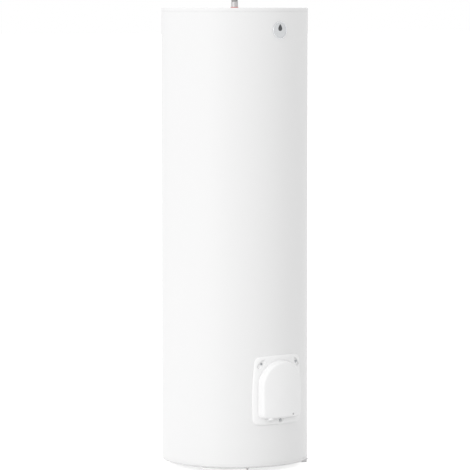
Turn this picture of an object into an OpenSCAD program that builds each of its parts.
// Floor-standing electric storage water heater of the 300 litre class.
// The origin is on the floor, on the tank's axis. +Z is up, and the service cover and badge face -Y.
// Lengths are millimetres, angles are degrees.

/* [Casing] */
// Height of the casing from the bottom cover to the top cover
casing_h = 1777; // [1400:1:1900]
// Thickness of the jacket's steel sheet
jacket_t = 0.8; // [0.6:0.1:1]
// Thickness of the two end covers
cap_t = 1; // [0.8:0.1:1.4]
// Height of the top cover's skirt
top_skirt_h = 14; // [10:1:22]
// Radius of the top cover's edge
top_edge_r = 4; // [3:0.5:6]
// Height of the bottom cover's skirt
bottom_skirt_h = 13; // [12:1:22]
// Radius of the bottom cover's edge
bottom_edge_r = 10; // [6:0.5:11]
// Distance of the top cover's stiffening groove from its edge
groove_inset = 51.5; // [30:0.5:120]
// Half width of the stiffening groove
groove_half_w = 9; // [6:0.5:12]
// Depth of the stiffening groove
groove_depth = 3; // [1:0.5:5]
// Width of the lap seam down the jacket's back
seam_w = 14; // [8:1:20]

/* [Feet] */
// Height of the feet, from the floor to the bottom cover
foot_h = 21; // [20:1:60]
// Width of a foot at its top
foot_w = 180; // [150:1:200]
// How much narrower a foot is at the floor, on each side
foot_taper = 4; // [0:0.5:8]
// Depth of a foot's top plate towards the tank's axis
foot_depth = 60; // [56:1:75]
// Thickness of the feet's sheet
foot_sheet = 2.5; // [2:0.1:4]
// How far a foot's front plate stands inside the casing's surface
foot_inset = 11; // [11:1:18]
// Angle of the first foot from the front
foot_turn = -46; // [-58:1:-38]
// Width of a floor ear where it leaves the foot
ear_w = 90; // [60:1:120]
// Radius of a floor ear's end
ear_r = 14; // [11:0.5:18]
// Radius of the floor bolt's hole
floor_hole_r = 5.5; // [4:0.5:7]
// How far the floor bolt's hole stands outside the casing's surface
floor_hole_out = 14.5; // [12:0.5:30]
// Radius of the bolts that hold the feet
foot_bolt_r = 4; // [3:0.5:5]
// Height of the foot bolts' heads
foot_bolt_head_h = 5.3; // [4:0.1:7]
// Width of the foot bolts' heads across flats
foot_bolt_head_w = 13; // [10:0.5:15]
// Distance of each foot bolt from the foot's middle
foot_bolt_off = 28; // [25:1:32]

/* [Tank] */
// Outside diameter of the tank
tank_d = 500; // [440:1:560]
// Thickness of the tank's enamelled steel
tank_t = 2; // [1.6:0.1:3]
// Radius of the crown of the tank's ends
crown_r = 450; // [400:5:500]
// Radius of the knuckle of the tank's ends
knuckle_r = 60; // [50:1:75]
// Foam between the tank's side and the jacket
foam_side = 36.5; // [32:0.5:60]
// Foam between the tank's bottom and the bottom cover
foam_below = 40; // [32:1:60]
// Foam between the tank's top and the top cover
foam_above = 44; // [34:1:70]
// Width of a support leg across
leg_w = 36; // [24:1:40]
// Depth of a support leg
leg_depth = 24; // [16:1:28]
// Wall of a support leg
leg_wall = 2.5; // [2:0.1:4]
// How far the support legs' middle lies inside the tank's side
leg_inset = 14; // [12:0.5:20]
// How far a support leg's base plate runs past the bolts, across
leg_plate_side = 12; // [8:1:16]
// How far a support leg's base plate runs past the leg, front and back
leg_plate_ends = 8; // [4:1:10]
// Thickness of a support leg's base plate
leg_plate_t = 4; // [3:0.5:6]

/* [Water pipes] */
// Outside radius of the water pipes
pipe_r = 13.45; // [13.3:0.05:16]
// Major radius of the thread on the pipes' ends
thread_r = 13.2; // [10:0.1:13.2]
// Length of the thread on the pipes' ends
thread_len = 18; // [12:1:24]
// Radius of the pipes' bore
pipe_bore_r = 9.5; // [6:0.1:9.8]
// How far the hot outlet stands above the top cover
outlet_rise = 40; // [30:1:60]
// Height of the cold inlet above the lower weld of the tank
inlet_above_weld = 24; // [18:1:60]
// How far the cold inlet stands out of the jacket
inlet_reach = 40; // [30:1:60]
// How far the pipes reach into the tank
pipe_inside = 10; // [6:1:16]
// Wall of the coloured rings over the pipes
ring_wall = 1.8; // [1:0.1:4]
// Height of the coloured rings
ring_h = 2.5; // [2:0.5:6]
// Wall of the inlet diffuser over the pipe
diffuser_wall = 3.5; // [2:0.5:6]
// Length of the inlet diffuser
diffuser_len = 38; // [30:1:60]
// Number of slots in the diffuser
diffuser_slots = 4; // [2:1:5]

/* [Heater flange] */
// Height of the heater flange's axis above the bottom cover
service_up = 301; // [285:1:420]
// How far the welded neck stands out of the tank
neck_rise = 12; // [9:0.5:14]
// Radius of the neck's bore
neck_bore_r = 42; // [41:0.5:48]
// Width of the neck's sealing face and of the flange round the bore
neck_land = 20; // [17:0.5:24]
// Distance of the studs from the flange's edge
stud_edge = 8; // [7:0.5:9]
// Number of studs
stud_count = 6; // [5:1:8]
// Radius of the studs
stud_r = 4; // [3:0.5:4.5]
// Width of the flange nuts across flats
nut_w = 13; // [11:0.5:13.5]
// Height of the flange nuts
nut_h = 6.5; // [5:0.5:7.5]
// Thickness of the rubber gasket
gasket_t = 2; // [1:0.5:3]
// Thickness of the heater flange
flange_t = 6; // [4:0.5:8]
// Outside radius of the element's sheath
sheath_r = 22.5; // [20:0.5:23]
// Wall of the sheath
sheath_t = 1.5; // [1:0.1:2]
// Length of the sheath inside the tank
sheath_len = 360; // [250:1:420]
// Gap between the sheath and the neck's bore, at the bottom
sheath_margin = 4.5; // [2:0.5:6]
// Clearance of the ceramic core in the sheath
core_clear = 1.2; // [0.5:0.1:2]
// Number of heating wires in the core's grooves
wire_count = 6; // [4:1:8]
// Radius of a coiled heating wire
wire_r = 2.2; // [1.5:0.1:2.6]
// Radius of the magnesium anode
anode_r = 9; // [7:0.5:9.5]
// Length of the anode
anode_len = 320; // [200:1:400]
// Gap between the anode and the neck's bore
anode_margin = 2.5; // [1.5:0.5:4]
// Direction of the anode from the flange's axis
anode_turn = 35; // [28:1:42]
// Outside radius of the probe pocket
pocket_r = 7; // [6.8:0.1:7.5]
// Wall of the probe pocket
pocket_t = 0.8; // [0.5:0.1:1]
// Length of the probe pocket inside the tank
pocket_len = 300; // [280:1:340]
// Gap between the probe pocket and the neck's bore, at the top
pocket_margin = 5; // [3:0.5:7]
// Free space round each of the two thermostat probes in the pocket
probe_clear = 0.3; // [0.2:0.05:0.6]
// How far the probes' ends stay short of the pocket's end
probe_short = 30; // [10:1:60]

/* [Service compartment] */
// Space round the flange in the round opening of the jacket
opening_space = 13; // [11:0.5:14]
// Wall of the collar that holds the foam back
collar_t = 3; // [2:0.5:5]
// Gap between the flange and the thermostat's back
thermo_gap = 11.5; // [10:0.5:13]
// Width of the thermostat
thermo_w = 66; // [60:1:70]
// Bottom of the thermostat, measured from the flange's axis
thermo_low = -30; // [-32:1:-28]
// Top of the thermostat, measured from the flange's axis
thermo_high = 44; // [42:1:50]
// Sideways place of the reset button
button_x = 20; // [16:0.5:24]
// Place of the reset button under the flange's axis
button_down = 8; // [5:0.5:14]
// Radius of the thermostat's knob
knob_r = 11; // [8:0.5:14]
// Height of the thermostat's knob
knob_h = 5; // [4:0.5:6]
// Height of the knob's axis above the flange's axis
knob_up = 24; // [20:1:27]
// Radius of the reset button
button_r = 4; // [3:0.5:5]
// How far the reset button stands out
button_out = 3; // [2.5:0.5:3.5]
// Travel of the reset button
button_travel = 2; // [1:0.5:2]
// Free space between the knob and the cover
knob_clear = 4; // [3:0.5:6]
// Radius of the internal leads
lead_r = 1.6; // [1:0.1:2]
// Thickness of the terminal bracket
bracket_t = 1.5; // [1:0.1:2]
// How far the bracket's wings reach past the middle of the flange nuts
wing_edge = 11; // [9:0.5:13]
// Width of the bracket's tongue
tongue_w = 44; // [36:1:48]
// Height of the bracket's front plate over the jacket
bracket_lift = 4.5; // [3:0.5:6]
// Width of the terminal block
block_w = 48; // [42:1:50]
// Height of the terminal block
block_h = 22; // [16:1:23]
// Depth of the terminal block
block_depth = 16; // [12:1:17]
// Spacing of the three terminals
terminal_pitch = 14; // [12:0.5:15]

/* [Service cover] */
// Width of the cover's flange where it is widest, a little under its middle
cover_w = 235; // [226:1:250]
// Width of the cover's flange at its top corners
cover_top_w = 219; // [214:1:225]
// Width of the cover's flange at its bottom corners
cover_low_w = 230; // [222:1:235]
// Height of the cover's flange
cover_h = 270; // [266:1:290]
// Corner radius of the cover's flange
cover_corner_r = 24; // [20:1:28]
// How far the flange's top edge is arched
cover_arch = 8; // [4:1:12]
// Height of the cover's flange over the jacket
cover_rise = 8; // [7:0.5:10]
// Width of the lower step round the flange
cover_step = 9; // [5:0.5:12]
// Wall of the cover
cover_wall = 2.6; // [2:0.1:3.5]
// Gap between the cover and the jacket
cover_gap = 0.3; // [0.2:0.1:0.6]
// How far the cover's face stands out of the jacket
dome_proud = 34; // [33:0.5:45]
// Width of the cover's flange beside the dome
dome_side = 20.5; // [18:0.5:23]
// Width of the cover's flange over the dome
dome_above = 20; // [16:0.5:22]
// Width of the cover's flange under the dome
dome_below = 23; // [21:0.5:28]
// How much the dome narrows on each side up to its face
dome_draft = 10; // [6:0.5:12]
// Radius of the dome's lower corners
dome_corner_r = 22; // [20:1:30]
// Distance of the two upper screws from the cover's sides
screw_side = 32; // [28:0.5:34]
// Distance of the two upper screws from the cover's top
screw_above = 31.5; // [29:0.5:34]
// Distance of the lower screw from the cover's bottom
screw_below = 16; // [14:0.5:16]
// Radius of the screw pockets
screw_pocket_r = 9; // [8:0.5:9.5]
// Depth of the screw pockets
screw_pocket_h = 5; // [4:0.5:7]
// Radius of the cover screws' shank
screw_r = 2.4; // [2:0.1:2.5]
// Radius of the cover screws' head
screw_head_r = 5.2; // [4.5:0.1:6]
// Height of the cover screws' head
screw_head_h = 3; // [2:0.1:3.5]
// Length of the cover screws under the head
screw_len = 14; // [12:0.5:16]
// Sideways place of the lamp
lamp_x = 45; // [42:1:50]
// Height of the lamp over the dome's bottom
lamp_above = 16; // [15:0.5:20]
// Radius of the lamp's lens
lens_r = 4; // [3:0.5:5]
// Sideways place of the mains cable's entry
cable_x = -55; // [-58:0.5:-52]
// Radius of the mains cable's entry
cable_r = 5.5; // [4:0.5:6.5]
// Wall of the grommet in the cable's entry
grommet_wall = 2.5; // [2:0.5:3]
// Width of the grommet's lips past its neck
grommet_lip = 1.5; // [1:0.5:2]
// Thickness of the grommet's lips
grommet_lip_t = 2; // [1:0.5:3]
// Wall of the cover's boss round the grommet
boss_wall = 4; // [3:0.5:5]
// Height of the cover's boss round the grommet
boss_h = 12; // [10:0.5:14]
// How far the boss reaches under the dome's bottom
boss_drop = 3; // [2:0.5:4]

/* [Badge] */
// Radius of the round badge
badge_r = 33.5; // [25:0.5:40]
// Width of the badge's rim
badge_rim_w = 3; // [2:0.5:5]
// Thickness of the badge's rim
badge_t = 2.4; // [1.5:0.1:4]
// How deep the plate lies inside the rim
badge_sink = 0.9; // [0.3:0.1:1]
// Distance from the casing's top to the badge's middle
badge_down = 86; // [60:1:200]

/* [Hidden] */
$fn = 96;

nest_gap = 0.2; // gap between sheets and foam that lie inside each other
slide_gap = 0.3; // gap between a moving piece and its neighbour
turn_gap = 0.05; // gap round a shaft that turns in a bore
bolt_clear = 0.5; // gap between a bolt or a stud and its hole
end_gap = 1; // gap between the jacket's ends and the end covers' sheet
head_gap = 1; // gap between the element's head and the bracket
lamp_gap = 1; // gap between the pilot lamp and its lens
block_gap = 3; // gap between the bracket's shelf and the terminal block
shelf_gap = 9; // gap between the bracket's shelf and the opening's lowest point
cable_lift = 1.5; // gap between the cable and the bracket
through = 1; // how far a cut runs past a face
thin = 0.01; // thickness of the slices that a hull joins

swage_h = 2; // height of the step between the jacket's full and reduced radius
foot_bolt_end = 2; // how far a foot bolt reaches past the support leg's base plate
stud_root = 8; // how deep the studs are welded into the neck
stud_end = 1.5; // how far a stud reaches past its nut
anode_stud_r = 4;
anode_stud_len = 8; // how far the anode's stud reaches past the flange
core_short = 6; // how far the ceramic core stays short of the sheath's end
wire_short = 5; // how far the heating wires stay short of the core's end
wire_depth = 0.5; // how deep a heating wire lies under the core's surface
knob_shaft_r = 3;
knob_shaft_len = 8;
knob_line_w = 1.6; // width of the groove that shows where the knob points
knob_line_depth = 1.5;
button_len = 7; // length of the reset button inside the thermostat
block_margin = 5; // how far the bracket's front plate runs past the terminal block
terminal_hole_r = 3.6; // radius of the hole over a terminal's screw
terminal_depth = 6; // depth of that hole
terminal_sink = 2; // how deep a terminal's screw lies in it
terminal_slot_w = 1;
lead_up = 6; // height of the leads over the bracket's face, where they leave the terminals
earth_r = 2.5;
earth_nut_w = 8;
earth_nut_h = 4;
earth_end = 7; // how far the earth stud reaches past its nut
clamp_h = 10;
clamp_wall = 2.5; // wall of the cable's clamp over the cable
clamp_edge = 4; // how far the clamp runs past the middle of its screws
clamp_screw_r = 1.7;
clamp_head_h = 2;
lamp_base_r = 6;
lamp_base_h = 6;
lamp_tab = 10; // half width of the bracket's tab under the lamp
lens_len = 6; // length of the lens inside the cover
lens_rise = 1.2; // how far the lens stands out of the cover
pocket_floor_t = 2; // thickness of the cover under a screw's head
screw_hole_clear = 0.4; // gap between a cover screw and its hole in the cover
cover_wide_up = -42; // height of the flange's widest place over the flange's axis
screw_slot_w = 1.2; // width of the cross in a cover screw's head
screw_slot_r = 3; // half length of that cross
screw_slot_h = 1.4; // depth of that cross
anchor_r = 5.5; // radius of the screw anchors
anchor_depth = 13; // length of the screw anchors behind the jacket
diffuser_gap = 3; // gap between the diffuser and the tank's wall
diffuser_end_t = 2.5; // thickness of the diffuser's closed end
diffuser_slot_w = 2.5;
diffuser_slot_pitch = 5.5;

tank_r = tank_d / 2;
casing_r = tank_r + foam_side + nest_gap + jacket_t;
base_z = foot_h;
top_z = base_z + casing_h;
swage_r = casing_r - cap_t - nest_gap;
foam_r = casing_r - jacket_t - nest_gap;
foam_end_r = swage_r - jacket_t - nest_gap;
low_step_z = base_z + bottom_skirt_h;
high_step_z = top_z - top_skirt_h;
jacket_low_z = base_z + bottom_edge_r;
jacket_high_z = top_z - top_edge_r - end_gap;
groove_place_r = casing_r - groove_inset;
pipe_hole_r = pipe_r + nest_gap;
badge_z = top_z - badge_down;

web_r = casing_r - foot_inset;
ear_place_r = casing_r + floor_hole_out;
foot_bolt_hole_r = foot_bolt_r + bolt_clear;
foot_angles = [foot_turn, foot_turn + 120, foot_turn + 240];
leg_place_r = tank_r - leg_inset;
leg_plate_z = base_z + cap_t;
leg_plate_w = 2 * (foot_bolt_off + leg_plate_side);
leg_plate_d = leg_depth + 2 * leg_plate_ends;

knuckle_angle = acos((tank_r - knuckle_r) / (crown_r - knuckle_r));
end_depth = crown_r - (crown_r - knuckle_r) * sin(knuckle_angle);
tank_low_z = base_z + cap_t + foam_below;
tank_high_z = top_z - cap_t - foam_above;
weld_low_z = tank_low_z + end_depth;
weld_high_z = tank_high_z - end_depth;
inlet_z = weld_low_z + inlet_above_weld;
diffuser_r = pipe_r + diffuser_wall;
ring_r = pipe_r + ring_wall;

service_z = base_z + service_up;
neck_r = neck_bore_r + neck_land;
stud_place_r = neck_r - stud_edge;
opening_r = neck_r + opening_space;
seat_out = tank_r + neck_rise; // the neck's sealing face, measured out from the tank's axis
flange_back_out = seat_out + gasket_t;
flange_out = flange_back_out + flange_t;
stud_root_out = seat_out - stud_root;
stud_end_out = flange_out + bracket_t + nut_h + stud_end;
stud_angles = [for (i = [0 : stud_count - 1]) -90 + (i + 0.5) * 360 / stud_count];
function on_bracket(i) = i == 0 || i == stud_count - 1; // the two lowest studs hold the bracket
function nut_seat(i) = flange_out + (on_bracket(i) ? bracket_t : 0);

element_inner_r = sheath_r - sheath_t;
sheath_drop = neck_bore_r - sheath_margin - sheath_r;
core_r = element_inner_r - core_clear;
core_end_out = flange_back_out - sheath_len + sheath_t + core_short;
wire_place_r = core_r - wire_r - wire_depth;
anode_place_r = neck_bore_r - anode_margin - anode_r;
anode_x = anode_place_r * cos(anode_turn);
anode_up = anode_place_r * sin(anode_turn);
pocket_up = neck_bore_r - pocket_margin - pocket_r;
probe_r = (pocket_r - pocket_t) / 2 - probe_clear;
probe_x = probe_r + probe_clear / 2;
probe_len = pocket_len - probe_short;

cover_out = casing_r + dome_proud;
thermo_back_out = flange_out + thermo_gap;
thermo_front_out = cover_out - cover_wall - knob_clear - knob_h - slide_gap;
dome_r = cover_w / 2 - dome_side;
dome_mid = cover_h / 2 - dome_above - dome_r;
dome_low = dome_below - cover_h / 2;
lamp_up = dome_low + lamp_above;
earth_up = -stud_place_r * cos(180 / stud_count);
wing_half_w = stud_place_r * sin(180 / stud_count) + wing_edge;
wing_low = earth_up - wing_edge;
wing_high = -sheath_drop - element_inner_r - head_gap;
shelf_up = shelf_gap - opening_r; // the bracket's shelf, measured from the flange's axis
bracket_out = casing_r + bracket_lift;
bracket_front_out = bracket_out + bracket_t;
block_top = shelf_up - block_gap;
block_out = bracket_front_out + block_depth;
bracket_low = block_top - block_h - block_margin;
lead_start_up = block_top - terminal_depth;
cable_out = bracket_front_out + cable_lift + cable_r;
clamp_up = (shelf_up + bracket_low) / 2;
clamp_screw_off = cable_r + 3 * clamp_screw_r;
clamp_w = 2 * (clamp_screw_off + clamp_edge);
clamp_front_out = cable_out + cable_r + clamp_wall;

function chord_out(r, x) = sqrt(r * r - x * x); // where a cylinder's surface lies, at x from its middle
lamp_front_out = chord_out(cover_out - cover_wall, lamp_x) - lens_len - lamp_gap;
mould_in = chord_out(casing_r, cover_w / 2) - cover_rise; // the cover's shapes are cut between these two
mould_out = cover_out + through;
arch_r = (cover_w * cover_w / 4 + cover_arch * cover_arch) / (2 * cover_arch);
function under_arch(x) = [x, cover_h / 2 - arch_r + chord_out(arch_r - cover_corner_r, x)];
flange_top_x = cover_top_w / 2 - cover_corner_r;
flange_top_up = under_arch(flange_top_x).y;
flange_bow = cover_w - cover_top_w;
flange_corners = [under_arch(0), under_arch(flange_top_x / 2), under_arch(flange_top_x),
    [cover_w / 2 - cover_corner_r - flange_bow / 8, (cover_wide_up + flange_top_up) / 2],
    [cover_w / 2 - cover_corner_r, cover_wide_up], [cover_low_w / 2 - cover_corner_r, cover_corner_r - cover_h / 2]];
wall_inset = cover_wall * sqrt(1 + pow(dome_draft / dome_proud, 2));
screw_x = cover_w / 2 - screw_side;
screw_high = cover_h / 2 - screw_above;
screw_places = [[-screw_x, screw_high], [screw_x, screw_high], [0, screw_below - cover_h / 2]];
function seat_of(x) = chord_out(casing_r, max(0, abs(x) - screw_pocket_r)) + cover_gap + pocket_floor_t;
grommet_neck_r = cable_r + grommet_wall;
grommet_lip_r = grommet_neck_r + grommet_lip;
boss_r = grommet_neck_r + boss_wall;
boss_low = dome_low - boss_drop;
boss_high = boss_low + boss_h;

function arc(x, y, r, from, to, steps) =
    [for (i = [0 : steps]) let (a = from + (to - from) * i / steps) [x + r * cos(a), y + r * sin(a)]];

// Points of a smooth dip: depth times half a cosine wave, from x - w to x + w.
function dip(x, w, y, depth, steps, flip = 1) =
    [for (i = [0 : steps]) let (u = flip * (2 * i / steps - 1)) [x + w * u, y - depth * (1 + cos(180 * u)) / 2]];

// Half the outline of a dished end of radius r, from the weld up to the crown, apex at height end_depth.
function dished(r, crown, knuckle) =
    let (mid = end_depth - crown_r, a = knuckle_angle)
    concat(arc(tank_r - knuckle_r, 0, knuckle, 0, a, 8), arc(0, mid, crown, a, 90, 12));

module upright(r, low, high) translate([0, 0, low]) cylinder(r = r, h = high - low, $fn = r > 100 ? 360 : $fn);

// Across: x is the row's X. Up: y is the height over the flange's axis. Out: z is the distance from the tank's axis.
module service_frame() translate([0, 0, service_z]) rotate([90, 0, 0]) children();

module post(x, y, r, from, to) translate([x, y, from]) cylinder(r = r, h = to - from);

module hex(x, y, w, from, to) translate([x, y, from]) cylinder(r = w / sqrt(3), h = to - from, $fn = 6);

module inlet_frame() translate([0, 0, inlet_z]) rotate([0, 90, 0]) children();

module slab(low, high) translate(low) cube(high - low);

// A tube through a list of points, with 8 sides.
module lead(points, r) {
    sides = 8;
    last = len(points) - 1;
    function run(i) = points[min(i + 1, last)] - points[max(i - 1, 0)];
    function unit(v) = v / norm(v);
    rings = [for (i = [0 : last])
        let (t = unit(run(i)), a = unit(cross(t, [0.31, 0.2, 0.93])), b = cross(t, a))
        for (k = [0 : sides - 1]) points[i] + r * (cos(360 * k / sides) * a + sin(360 * k / sides) * b)];
    skin = [for (i = [0 : last - 1], k = [0 : sides - 1])
        let (n = (k + 1) % sides) [i * sides + k, i * sides + n, (i + 1) * sides + n, (i + 1) * sides + k]];
    ends = [[for (k = [sides - 1 : -1 : 0]) k], [for (k = [0 : sides - 1]) last * sides + k]];
    polyhedron(rings, concat(skin, ends), convexity = 4);
}

// Points of a smooth curve from a to b that leaves along u and arrives along v.
function curve(a, u, v, b, steps) = [for (i = [0 : steps])
    let (t = i / steps, s = 1 - t) s * s * s * a + 3 * s * s * t * (a + u) + 3 * s * t * t * (b - v) + t * t * t * b];

// ---- casing ----

module jacket() color("white") difference() {
    union() {
        rotate_extrude() polygon([
            [swage_r, jacket_low_z], [swage_r, low_step_z], [casing_r, low_step_z + swage_h],
            [casing_r, high_step_z - swage_h], [swage_r, high_step_z], [swage_r, jacket_high_z],
            [swage_r - jacket_t, jacket_high_z], [swage_r - jacket_t, high_step_z],
            [casing_r - jacket_t, high_step_z - swage_h], [casing_r - jacket_t, low_step_z + swage_h],
            [swage_r - jacket_t, low_step_z], [swage_r - jacket_t, jacket_low_z]]);
        jacket_seam();
    }
    service_frame() post(0, 0, opening_r, mould_in, mould_out);
    service_frame() for (p = screw_places) post(p.x, p.y, screw_r + 2 * screw_hole_clear, mould_in, mould_out);
    inlet_frame() cylinder(r = pipe_hole_r, h = casing_r + through);
}

module jacket_seam() {
    turn = 180 * seam_w / (PI * casing_r);
    rotate([0, 0, 90 - turn / 2]) rotate_extrude(angle = turn)
        translate([casing_r - jacket_t / 2, low_step_z + swage_h]) square([jacket_t * 1.5, high_step_z - low_step_z - 2 * swage_h]);
}

module top_cover() color("white") {
    r = casing_r;
    under = concat([[pipe_hole_r, top_z - cap_t]],
        dip(groove_place_r, groove_half_w, top_z - cap_t, groove_depth, 12),
        arc(r - top_edge_r, top_z - top_edge_r, top_edge_r - cap_t, 90, 0, 6), [[r - cap_t, high_step_z]]);
    over = concat([[r, high_step_z]], arc(r - top_edge_r, top_z - top_edge_r, top_edge_r, 0, 90, 6),
        dip(groove_place_r, groove_half_w, top_z, groove_depth, 12, -1), [[pipe_hole_r, top_z]]);
    rotate_extrude() polygon(concat(under, over));
}

module bottom_cover() color("white") difference() {
    mid = casing_r - bottom_edge_r;
    rotate_extrude() polygon(concat([[0, base_z + cap_t], [0, base_z]],
        arc(mid, base_z + bottom_edge_r, bottom_edge_r, -90, 0, 8),
        [[casing_r, low_step_z], [casing_r - cap_t, low_step_z]],
        arc(mid, base_z + bottom_edge_r, bottom_edge_r - cap_t, 0, -90, 8)));
    for (a = foot_angles) rotate(a) foot_bolt_places() upright(foot_bolt_hole_r, base_z - through, base_z + cap_t + through);
}

module foam_insulation() color("khaki") difference() {
    union() {
        upright(foam_end_r, base_z + cap_t + bottom_edge_r, jacket_high_z - nest_gap);
        upright(casing_r - bottom_edge_r, base_z + cap_t, base_z + cap_t + bottom_edge_r);
        upright(foam_r, low_step_z + swage_h, high_step_z - swage_h);
    }
    tank_form(nest_gap);
    upright(pipe_r + nest_gap, tank_high_z - end_depth, top_z);
    rotate_extrude() polygon(concat(dip(groove_place_r, groove_half_w + through, top_z - cap_t, groove_depth, 12),
        [[groove_place_r + groove_half_w + through, top_z], [groove_place_r - groove_half_w - through, top_z]]));
    inlet_frame() cylinder(r = pipe_r + nest_gap, h = casing_r);
    service_frame() post(0, 0, opening_r + collar_t + nest_gap, 0, casing_r);
    service_frame() for (p = screw_places)
        post(p.x, p.y, anchor_r + nest_gap, chord_out(casing_r, p.x) - anchor_depth - through, casing_r);
    for (a = foot_angles) rotate(a) translate([0, -leg_place_r, leg_plate_z - through]) {
        translate([-leg_w / 2 - nest_gap, -leg_depth / 2 - nest_gap, 0])
            cube([leg_w + 2 * nest_gap, leg_depth + 2 * nest_gap, weld_low_z - leg_plate_z]);
        translate([-leg_plate_w / 2 - nest_gap, -leg_plate_d / 2 - nest_gap, 0])
            cube([leg_plate_w + 2 * nest_gap, leg_plate_d + 2 * nest_gap, leg_plate_t + foot_bolt_end + 2 * through]);
    }
}

module foam_collar() color("gainsboro") difference() {
    intersection() {
        service_frame() post(0, 0, opening_r + collar_t, tank_r / 2, casing_r);
        upright(casing_r - jacket_t - nest_gap, service_z - neck_r * 2, service_z + neck_r * 2);
    }
    service_frame() post(0, 0, opening_r, tank_r / 2 - through, casing_r + through);
    upright(tank_r + nest_gap, service_z - neck_r * 3, service_z + neck_r * 3);
}

// ---- feet ----

module foot_bolt_places() for (x = [-1, 1]) translate([x * foot_bolt_off, -leg_place_r, 0]) children();

module foot_shape() difference() {
    union() {
        translate([-foot_w / 2, -web_r, foot_h - foot_sheet]) cube([foot_w, foot_depth, foot_sheet]);
        translate([0, -web_r + foot_sheet, 0]) rotate([90, 0, 0]) linear_extrude(foot_sheet)
            polygon([[-foot_w / 2, foot_h], [foot_w / 2, foot_h],
                [foot_w / 2 - foot_taper, 0], [foot_taper - foot_w / 2, 0]]);
        for (side = [0, 1]) mirror([side, 0, 0]) foot_cheek();
        linear_extrude(foot_sheet) {
            polygon([[-ear_w / 2, -web_r], [ear_w / 2, -web_r], [ear_r, -ear_place_r], [-ear_r, -ear_place_r]]);
            translate([0, -ear_place_r]) circle(r = ear_r);
        }
    }
    translate([0, -ear_place_r, -through]) cylinder(r = floor_hole_r, h = foot_sheet + 2 * through);
    foot_bolt_places() upright(foot_bolt_hole_r, 0, foot_h + through);
}

module foot_cheek() intersection() {
    translate([0, foot_depth - web_r, 0]) rotate([90, 0, 0]) linear_extrude(foot_depth)
        polygon([[foot_w / 2 - foot_sheet, foot_h], [foot_w / 2, foot_h], [foot_w / 2 - foot_taper, 0],
            [foot_w / 2 - foot_taper - foot_sheet, 0]]);
    rotate([90, 0, 90]) linear_extrude(foot_w)
        polygon([[-web_r, 0], [-web_r, foot_h], [foot_depth - web_r, foot_h],
            [foot_depth - web_r, foot_h - 3 * foot_sheet], [foot_depth / 4 - web_r, 0]]);
}

module left_foot() color("white") rotate(foot_angles[0]) foot_shape();
module right_foot() color("white") rotate(foot_angles[1]) foot_shape();
module rear_foot() color("white") rotate(foot_angles[2]) foot_shape();

module foot_bolts() color("silver") for (a = foot_angles) rotate(a) foot_bolt_places() {
    low = foot_h - foot_sheet - foot_bolt_head_h;
    hex(0, 0, foot_bolt_head_w, low, low + foot_bolt_head_h);
    upright(foot_bolt_r, low, leg_plate_z + leg_plate_t + foot_bolt_end);
}

module support_leg() difference() {
    translate([0, -leg_place_r, leg_plate_z]) {
        translate([-leg_plate_w / 2, -leg_plate_d / 2, 0]) cube([leg_plate_w, leg_plate_d, leg_plate_t]);
        difference() {
            translate([-leg_w / 2, -leg_depth / 2, 0]) cube([leg_w, leg_depth, weld_low_z - leg_plate_z]);
            translate([leg_wall - leg_w / 2, leg_wall - leg_depth / 2, leg_plate_t])
                cube([leg_w - 2 * leg_wall, leg_depth - 2 * leg_wall, weld_low_z]);
        }
    }
    tank_form(0);
    foot_bolt_places() upright(foot_bolt_r, leg_plate_z - through, leg_plate_z + leg_plate_t + through);
}

module left_support_leg() color("dimgray") rotate(foot_angles[0]) support_leg();
module right_support_leg() color("dimgray") rotate(foot_angles[1]) support_leg();
module rear_support_leg() color("dimgray") rotate(foot_angles[2]) support_leg();

// ---- tank ----

// The tank as a solid body, larger by gap all round.
module tank_form(gap) {
    cap = concat([[0, -through]], [[tank_r + gap, -through]], dished(tank_r, crown_r + gap, knuckle_r + gap));
    upright(tank_r + gap, weld_low_z, weld_high_z);
    translate([0, 0, weld_high_z]) rotate_extrude() polygon(cap);
    translate([0, 0, weld_low_z]) mirror([0, 0, 1]) rotate_extrude() polygon(cap);
}

module dished_end() {
    inner = dished(tank_r, crown_r - tank_t, knuckle_r - tank_t);
    rotate_extrude() polygon(concat(dished(tank_r, crown_r, knuckle_r), [for (i = [len(inner) - 1 : -1 : 0]) inner[i]]));
}

module tank_shell() color("steelblue") difference() {
    upright(tank_r, weld_low_z, weld_high_z);
    upright(tank_r - tank_t, weld_low_z - through, weld_high_z + through);
    service_frame() post(0, 0, neck_bore_r, tank_r / 2, casing_r);
    inlet_frame() cylinder(r = pipe_r, h = casing_r);
}

module tank_top() color("steelblue") difference() {
    translate([0, 0, weld_high_z]) dished_end();
    upright(pipe_r, weld_high_z, tank_high_z + through);
}

module tank_bottom() color("steelblue") translate([0, 0, weld_low_z]) mirror([0, 0, 1]) dished_end();

module threaded_pipe(from, to) difference() {
    union() {
        upright(pipe_r, from, to - thread_len);
        upright(thread_r, to - thread_len, to);
    }
    upright(pipe_bore_r, from - through, to + through);
}

module hot_outlet() color("silver") threaded_pipe(tank_high_z - tank_t - pipe_inside, top_z + outlet_rise);

module hot_ring() color("firebrick") difference() {
    upright(ring_r, top_z, top_z + ring_h);
    upright(pipe_r, top_z - through, top_z + ring_h + through);
}

module cold_inlet() color("silver") inlet_frame() threaded_pipe(tank_r - tank_t - pipe_inside, casing_r + inlet_reach);

module cold_ring() color("royalblue") difference() {
    inlet_frame() translate([0, 0, casing_r - ring_h]) cylinder(r = ring_r, h = 2 * ring_h);
    inlet_frame() cylinder(r = pipe_r, h = casing_r + inlet_reach);
    upright(casing_r, inlet_z - 2 * ring_r, inlet_z + 2 * ring_r);
}

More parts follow.
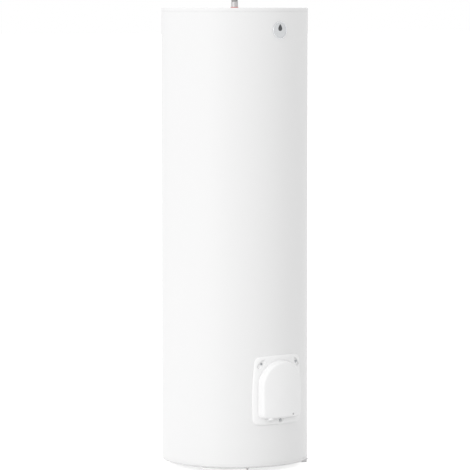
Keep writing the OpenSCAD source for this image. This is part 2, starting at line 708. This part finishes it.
module inlet_diffuser() color("white") inlet_frame() difference() {
    end = tank_r - tank_t - diffuser_gap - diffuser_len;
    translate([0, 0, end]) cylinder(r = diffuser_r, h = diffuser_len);
    translate([0, 0, end + diffuser_end_t]) cylinder(r = pipe_bore_r, h = diffuser_len);
    translate([0, 0, tank_r - tank_t - pipe_inside]) cylinder(r = pipe_r, h = diffuser_len);
    for (i = [0 : diffuser_slots - 1]) translate([0, -pipe_bore_r, end + 2 * diffuser_end_t + i * diffuser_slot_pitch])
        cube([diffuser_r + through, 2 * pipe_bore_r, diffuser_slot_w]);
}

// ---- heater flange and what it carries ----

module flange_neck() color("steelblue") difference() {
    service_frame() post(0, 0, neck_r, tank_r / 2, seat_out);
    service_frame() post(0, 0, neck_bore_r, tank_r / 2 - through, seat_out + through);
    upright(tank_r, service_z - 2 * neck_r, service_z + 2 * neck_r);
    service_frame() stud_places() post(0, 0, stud_r, stud_root_out, seat_out + through);
}

module stud_places() for (a = stud_angles) rotate(a) translate([stud_place_r, 0, 0]) children();

module flange_studs() color("silver") service_frame() stud_places() post(0, 0, stud_r, stud_root_out, stud_end_out);

module flange_gasket() color("dimgray") service_frame() difference() {
    post(0, 0, neck_r, seat_out, flange_back_out);
    post(0, 0, neck_bore_r, seat_out - through, flange_back_out + through);
    stud_places() post(0, 0, stud_r + nest_gap, seat_out - through, flange_back_out + through);
}

module heater_flange() color("steelblue") service_frame() difference() {
    post(0, 0, neck_r, flange_back_out, flange_out);
    stud_places() post(0, 0, stud_r + bolt_clear, flange_back_out - through, flange_out + through);
    post(0, -sheath_drop, sheath_r, flange_back_out - through, flange_out + through);
    post(0, pocket_up, pocket_r, flange_back_out - through, flange_out + through);
    post(anode_x, anode_up, anode_stud_r, flange_back_out - through, flange_out + through);
}

module flange_nuts() color("silver") service_frame() for (i = [0 : stud_count - 1]) {
    place = stud_place_r * [cos(stud_angles[i]), sin(stud_angles[i])];
    difference() {
        hex(place.x, place.y, nut_w, nut_seat(i), nut_seat(i) + nut_h);
        post(place.x, place.y, stud_r, nut_seat(i) - through, nut_seat(i) + nut_h + through);
    }
}

module element_sheath() color("steelblue") service_frame() difference() {
    post(0, -sheath_drop, sheath_r, flange_back_out - sheath_len, flange_out);
    post(0, -sheath_drop, element_inner_r, flange_back_out - sheath_len + sheath_t, flange_out + through);
}

module wire_places() for (i = [0 : wire_count - 1]) rotate(i * 360 / wire_count) translate([wire_place_r, 0, 0]) children();

module ceramic_core() color("linen") service_frame() difference() {
    post(0, -sheath_drop, core_r, core_end_out, flange_out);
    translate([0, -sheath_drop, 0]) wire_places() post(0, 0, wire_r + nest_gap, core_end_out + wire_short, flange_out + through);
}

module heating_wires() color("darkgoldenrod") service_frame() translate([0, -sheath_drop, 0])
    wire_places() post(0, 0, wire_r, core_end_out + wire_short, flange_out);

module element_head() color("saddlebrown") service_frame()
    post(0, -sheath_drop, element_inner_r, flange_out, thermo_back_out);

module anode_rod() color("gray") service_frame() {
    post(anode_x, anode_up, anode_r, flange_back_out - anode_len, flange_back_out);
    post(anode_x, anode_up, anode_stud_r, flange_back_out, flange_out + anode_stud_len);
}

module anode_nut() color("silver") service_frame() difference() {
    hex(anode_x, anode_up, nut_w, flange_out, flange_out + nut_h);
    post(anode_x, anode_up, anode_stud_r, flange_out - through, flange_out + nut_h + through);
}

module probe_pocket() color("silver") service_frame() difference() {
    post(0, pocket_up, pocket_r, flange_back_out - pocket_len, flange_out + thermo_gap / 2);
    post(0, pocket_up, pocket_r - pocket_t, flange_back_out - pocket_len + pocket_t, flange_out + thermo_gap);
}

module probe(side) service_frame() post(side * probe_x, pocket_up, probe_r, flange_back_out - probe_len, thermo_back_out);
module control_probe() color("tan") probe(-1);
module cutout_probe() color("tan") probe(1);

// ---- service compartment ----

module thermostat_body() color("saddlebrown") service_frame() difference() {
    slab([-thermo_w / 2, thermo_low, thermo_back_out], [thermo_w / 2, thermo_high, thermo_front_out]);
    post(0, knob_up, knob_shaft_r + turn_gap, thermo_front_out - knob_shaft_len - slide_gap, thermo_front_out + through);
    post(button_x, -button_down, button_r + slide_gap, thermo_front_out - button_len - button_travel - slide_gap, thermo_front_out + through);
}

module thermostat_knob() color("white") service_frame() difference() {
    union() {
        post(0, knob_up, knob_r, thermo_front_out + slide_gap, thermo_front_out + slide_gap + knob_h);
        post(0, knob_up, knob_shaft_r, thermo_front_out - knob_shaft_len, thermo_front_out + slide_gap);
    }
    slab([-knob_line_w / 2, knob_up - knob_r * 0.7, thermo_front_out + slide_gap + knob_h - knob_line_depth],
        [knob_line_w / 2, knob_up + knob_r * 0.9, thermo_front_out + slide_gap + knob_h + through]);
}

module reset_button() color("red") service_frame()
    post(button_x, -button_down, button_r, thermo_front_out - button_len, thermo_front_out + button_out);

module terminal_bracket() color("silver") service_frame() difference() {
    union() {
        slab([-wing_half_w, wing_low, flange_out], [wing_half_w, wing_high, flange_out + bracket_t]);
        slab([-tongue_w / 2, shelf_up - bracket_t, flange_out], [tongue_w / 2, wing_high, flange_out + bracket_t]);
        slab([-tongue_w / 2, shelf_up - bracket_t, flange_out], [tongue_w / 2, shelf_up, bracket_front_out]);
        slab([cable_x - clamp_w / 2, bracket_low, bracket_out], [lamp_x + lamp_tab, shelf_up, bracket_front_out]);
        slab([lamp_x - lamp_tab, lamp_up - lamp_tab, bracket_out], [lamp_x + lamp_tab, bracket_low + through, bracket_front_out]);
    }
    for (i = [0 : stud_count - 1]) if (on_bracket(i))
        post(stud_place_r * cos(stud_angles[i]), stud_place_r * sin(stud_angles[i]), stud_r + bolt_clear, flange_out - through, flange_out + bracket_t + through);
    post(0, earth_up, earth_r, flange_out - through, flange_out + bracket_t + through);
}

module earth_stud() color("gold") service_frame()
    post(0, earth_up, earth_r, flange_out, flange_out + bracket_t + earth_nut_h + earth_end);

module earth_nut() color("gold") service_frame() difference() {
    hex(0, earth_up, earth_nut_w, flange_out + bracket_t, flange_out + bracket_t + earth_nut_h);
    post(0, earth_up, earth_r, flange_out, flange_out + bracket_t + earth_nut_h + through);
}

module terminal_block() color("ivory") service_frame() difference() {
    slab([-block_w / 2, block_top - block_h, bracket_front_out], [block_w / 2, block_top, block_out]);
    for (i = [-1 : 1]) {
        post(i * terminal_pitch, block_top - block_h / 2, terminal_hole_r, block_out - terminal_depth, block_out + through);
        translate([i * terminal_pitch, block_top - block_h / 2, bracket_front_out + lead_up]) rotate([-90, 0, 0])
            cylinder(r = 1.5 * lead_r, h = block_h);
    }
}

module terminal_screws() color("gold") service_frame() for (i = [-1 : 1]) difference() {
    up = block_top - block_h / 2;
    post(i * terminal_pitch, up, terminal_hole_r - nest_gap, block_out - terminal_depth, block_out - terminal_sink);
    slab([i * terminal_pitch - terminal_slot_w / 2, up - terminal_hole_r, block_out - terminal_sink - terminal_slot_w],
        [i * terminal_pitch + terminal_slot_w / 2, up + terminal_hole_r, block_out]);
}

module thermostat_lead(x, into) service_frame() lead(
    curve([x, lead_start_up, bracket_front_out + lead_up], [0, 18, 0], [0, 14, 0], [into, thermo_low, thermo_back_out + 12], 12), lead_r);

module live_lead() color("sienna") thermostat_lead(-terminal_pitch, -terminal_pitch - 6);
module neutral_lead() color("dodgerblue") thermostat_lead(0, terminal_pitch);
module earth_lead() color("greenyellow") service_frame() lead(
    curve([terminal_pitch, lead_start_up, bracket_front_out + lead_up], [2, 24, 0], [-6, 1, -4],
        [earth_r + lead_r, earth_up, flange_out + bracket_t + earth_nut_h + lead_r], 14), lead_r);

module cable_clamp() color("dimgray") service_frame() difference() {
    slab([cable_x - clamp_w / 2, clamp_up - clamp_h / 2, bracket_front_out],
        [cable_x + clamp_w / 2, clamp_up + clamp_h / 2, clamp_front_out]);
    translate([cable_x, clamp_up - clamp_h, cable_out]) rotate([-90, 0, 0]) cylinder(r = cable_r, h = 2 * clamp_h);
    for (x = [-1, 1]) post(cable_x + x * clamp_screw_off, clamp_up, clamp_screw_r, bracket_out, mould_out);
}

module clamp_screws() color("silver") service_frame() for (x = [-1, 1]) {
    post(cable_x + x * clamp_screw_off, clamp_up, clamp_screw_r, bracket_front_out, clamp_front_out);
    post(cable_x + x * clamp_screw_off, clamp_up, 2 * clamp_screw_r, clamp_front_out, clamp_front_out + clamp_head_h);
}

module pilot_lamp() color("orange") service_frame() {
    post(lamp_x, lamp_up, lamp_base_r, bracket_front_out, bracket_front_out + lamp_base_h);
    post(lamp_x, lamp_up, lamp_base_r / 2, bracket_front_out + lamp_base_h, lamp_front_out);
}

// ---- service cover ----

module cover_outline(inset) hull() for (side = [-1, 1], p = flange_corners)
    translate([side * p.x, p.y]) circle(r = cover_corner_r - inset);

module cover_plate(inset, r) intersection() {
    service_frame() translate([0, 0, mould_in]) linear_extrude(mould_out - mould_in) cover_outline(inset);
    upright(r, service_z - cover_h, service_z + cover_h);
}

// How far the dome's sides have moved in at a distance out, from where they leave the casing.
function moved(out) = dome_draft * (out - casing_r) / dome_proud;

module dome_form(inset) hull() for (out = [mould_in, mould_out]) translate([0, 0, out]) {
    corner_up = dome_low + dome_corner_r;
    corner_x = dome_r - dome_corner_r;
    post(0, dome_mid, dome_r - inset - moved(out), 0, thin, $fn = 72);
    for (x = [-corner_x, corner_x]) post(x, corner_up, dome_corner_r - inset - moved(out), 0, thin, $fn = 48);
}

module dome_solid(inset, r) intersection() {
    service_frame() dome_form(inset);
    upright(r, service_z - cover_h, service_z + cover_h);
}

module grommet_place() translate([cable_x, -cable_out, service_z]) children();

module service_cover() color("white") difference() {
    union() {
        difference() {
            union() {
                cover_plate(0, casing_r + cover_rise / 2);
                cover_plate(cover_step, casing_r + cover_rise);
                dome_solid(0, cover_out);
            }
            cover_plate(cover_step + cover_wall, casing_r + cover_rise - cover_wall);
            dome_solid(wall_inset, cover_out - cover_wall);
        }
        service_frame() for (p = screw_places)
            post(p.x, p.y, screw_pocket_r + cover_wall, mould_in, seat_of(p.x) + screw_pocket_h);
        grommet_place() upright(boss_r, boss_low, boss_high);
    }
    upright(casing_r + cover_gap, service_z - cover_h, service_z + cover_h);
    service_frame() for (p = screw_places) {
        post(p.x, p.y, screw_pocket_r, seat_of(p.x), mould_out);
        post(p.x, p.y, screw_r + screw_hole_clear, mould_in, mould_out);
    }
    service_frame() post(lamp_x, lamp_up, lens_r, casing_r + dome_proud / 2, mould_out);
    grommet_place() {
        upright(grommet_neck_r, boss_low - through, boss_high + through);
        upright(grommet_lip_r + nest_gap, boss_high, boss_high + grommet_lip_t + nest_gap);
        upright(grommet_lip_r + nest_gap, boss_low - grommet_lip_t - nest_gap, boss_low);
    }
}

module cover_screws() color("gray") service_frame() for (p = screw_places) difference() {
    seat = seat_of(p.x);
    union() {
        post(p.x, p.y, screw_head_r, seat, seat + screw_head_h);
        post(p.x, p.y, screw_r, seat - screw_len, seat);
    }
    for (turn = [0, 90]) translate([p.x, p.y, seat + screw_head_h - screw_slot_h]) rotate(turn)
        slab([-screw_slot_r, -screw_slot_w / 2, 0], [screw_slot_r, screw_slot_w / 2, screw_slot_h + through]);
}

module screw_anchors() color("dimgray") intersection() {
    service_frame() for (p = screw_places) difference() {
        post(p.x, p.y, anchor_r, chord_out(casing_r, p.x) - anchor_depth, casing_r);
        post(p.x, p.y, screw_r + slide_gap, mould_in - anchor_depth, casing_r + through);
    }
    upright(foam_r + nest_gap, service_z - cover_h, service_z + cover_h);
}

module lamp_lens() color("lightgray") intersection() {
    service_frame() post(lamp_x, lamp_up, lens_r, lamp_front_out + lamp_gap, mould_out + lens_rise);
    upright(cover_out + lens_rise, service_z - cover_h, service_z + cover_h);
}

module cable_grommet() color("gainsboro") grommet_place() difference() {
    union() {
        upright(grommet_lip_r, boss_low - grommet_lip_t, boss_low);
        upright(grommet_neck_r, boss_low, boss_high);
        upright(grommet_lip_r, boss_high, boss_high + grommet_lip_t);
    }
    upright(cable_r, boss_low - grommet_lip_t - through, boss_high + grommet_lip_t + through);
}

// ---- badge ----

module badge_disc(r, from, to) intersection() {
    translate([0, 0, badge_z]) rotate([90, 0, 0]) cylinder(r = r, h = casing_r + 2 * badge_t);
    difference() {
        upright(to, badge_z - 2 * badge_r, badge_z + 2 * badge_r);
        upright(from, badge_z - 3 * badge_r, badge_z + 3 * badge_r);
    }
}

module badge_rim() color("silver") difference() {
    badge_disc(badge_r, casing_r, casing_r + badge_t);
    translate([0, 0, badge_z]) rotate([90, 0, 0]) cylinder(r = badge_r - badge_rim_w, h = casing_r + 2 * badge_t);
}

module badge_plate() color("lightgray") badge_disc(badge_r - badge_rim_w, casing_r, casing_r + badge_t - badge_sink);

jacket();
top_cover();
bottom_cover();
left_foot();
right_foot();
rear_foot();
foot_bolts();
left_support_leg();
right_support_leg();
rear_support_leg();
tank_shell();
tank_top();
tank_bottom();
foam_insulation();
foam_collar();
hot_outlet();
hot_ring();
cold_inlet();
cold_ring();
inlet_diffuser();
flange_neck();
flange_studs();
flange_gasket();
heater_flange();
flange_nuts();
element_sheath();
ceramic_core();
heating_wires();
element_head();
anode_rod();
anode_nut();
probe_pocket();
control_probe();
cutout_probe();
thermostat_body();
thermostat_knob();
reset_button();
terminal_bracket();
terminal_block();
terminal_screws();
earth_stud();
earth_nut();
live_lead();
neutral_lead();
earth_lead();
cable_clamp();
clamp_screws();
pilot_lamp();
screw_anchors();
badge_rim();
badge_plate();
service_cover();
cover_screws();
lamp_lens();
cable_grommet();
